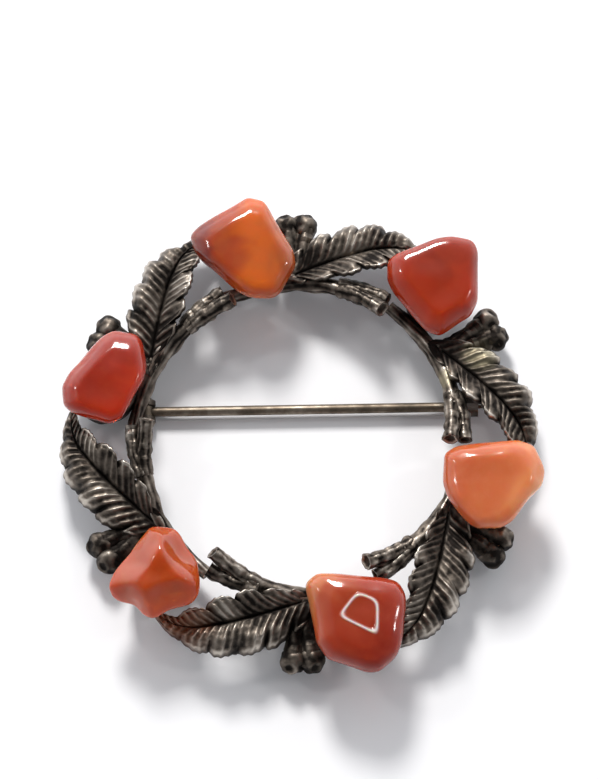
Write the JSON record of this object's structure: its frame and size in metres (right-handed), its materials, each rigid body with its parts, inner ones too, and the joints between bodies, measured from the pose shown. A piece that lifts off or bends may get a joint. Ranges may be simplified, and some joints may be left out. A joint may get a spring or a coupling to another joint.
{
  "type": "wreath brooch",
  "caption": "Round wreath brooch of cast leaves, forked twigs and berries set with tumbled orange stones, with a hinged pin and a plain catch on the back.",
  "frame": {"origin": "centre of the ring of leaves, at the height of the surface that the brooch rests on", "axes": "+Z out of the decorated face, +Y up and +X to the right as the face is looked at, the pin along X"},
  "size_m": [0.0488, 0.0498, 0.0087],
  "materials": {
    "antiqued_metal": "antiqued cast silver tone, dark recesses, burnished high spots",
    "pin_metal": "dull drawn wire, lightly tarnished",
    "amber_stone": "tumbled and polished, translucent",
    "brick_stone": "tumbled and polished, translucent",
    "peach_stone": "tumbled and polished, translucent",
    "orange_stone": "tumbled and polished, translucent",
    "red_stone": "tumbled and polished, translucent"
  },
  "bodies": {
    "brooch": {"wreath": "antiqued_metal", "hinge_rivet": "pin_metal", "stone_1": "amber_stone", "stone_2": "brick_stone", "stone_3": "peach_stone", "stone_4": "brick_stone", "stone_5": "orange_stone", "stone_6": "red_stone"},
    "pin": {"pin_stem": "pin_metal"}
  },
  "joints": [
    {"name": "pin_hinge", "type": "hinge", "parent": "brooch", "child": "pin", "pos_m": [-0.0155, 0.0036, 0.00102], "axis": [0, 1, 0], "range_deg": [0, 100]}
  ]
}
